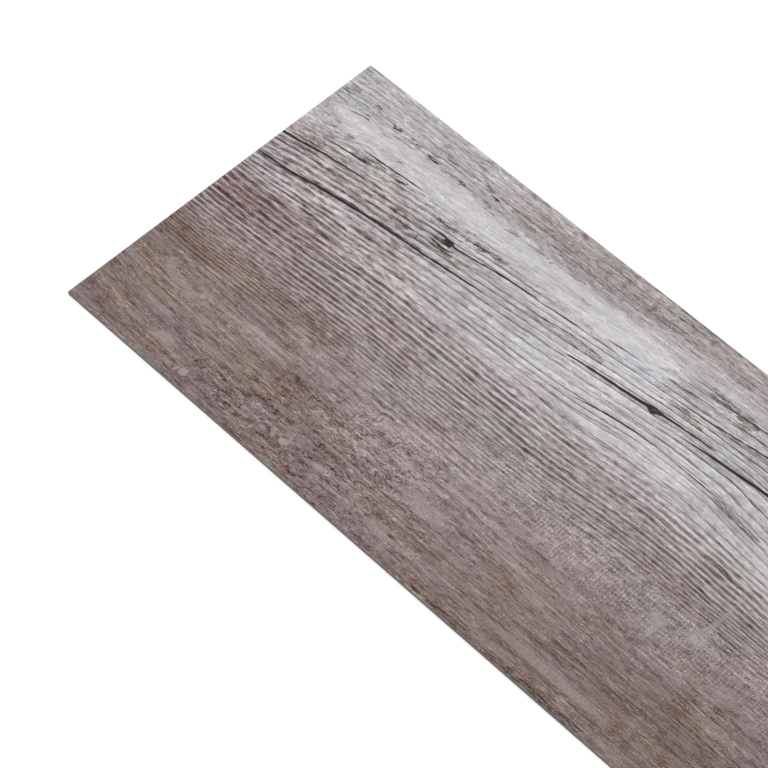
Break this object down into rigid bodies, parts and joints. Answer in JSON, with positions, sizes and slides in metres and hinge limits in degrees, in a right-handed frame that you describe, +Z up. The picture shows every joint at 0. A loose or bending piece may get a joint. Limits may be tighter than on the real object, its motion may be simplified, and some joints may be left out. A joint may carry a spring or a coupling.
{
  "type": "peel and stick vinyl plank",
  "caption": "Flat rectangular floor plank of printed, embossed vinyl with a weathered grey wood figure, its release liner still on the glue side.",
  "frame": {"origin": "middle of the release liner's underside, which lies on the floor", "axes": "+X along the plank, +Y across it, +Z up through the printed face"},
  "size_m": [0.9144, 0.1524, 0.0021],
  "materials": {
    "printed_vinyl": "matte",
    "liner_paper": "satin"
  },
  "bodies": {
    "root": {"vinyl_plank": "printed_vinyl", "release_liner": "liner_paper"}
  },
  "joints": []
}
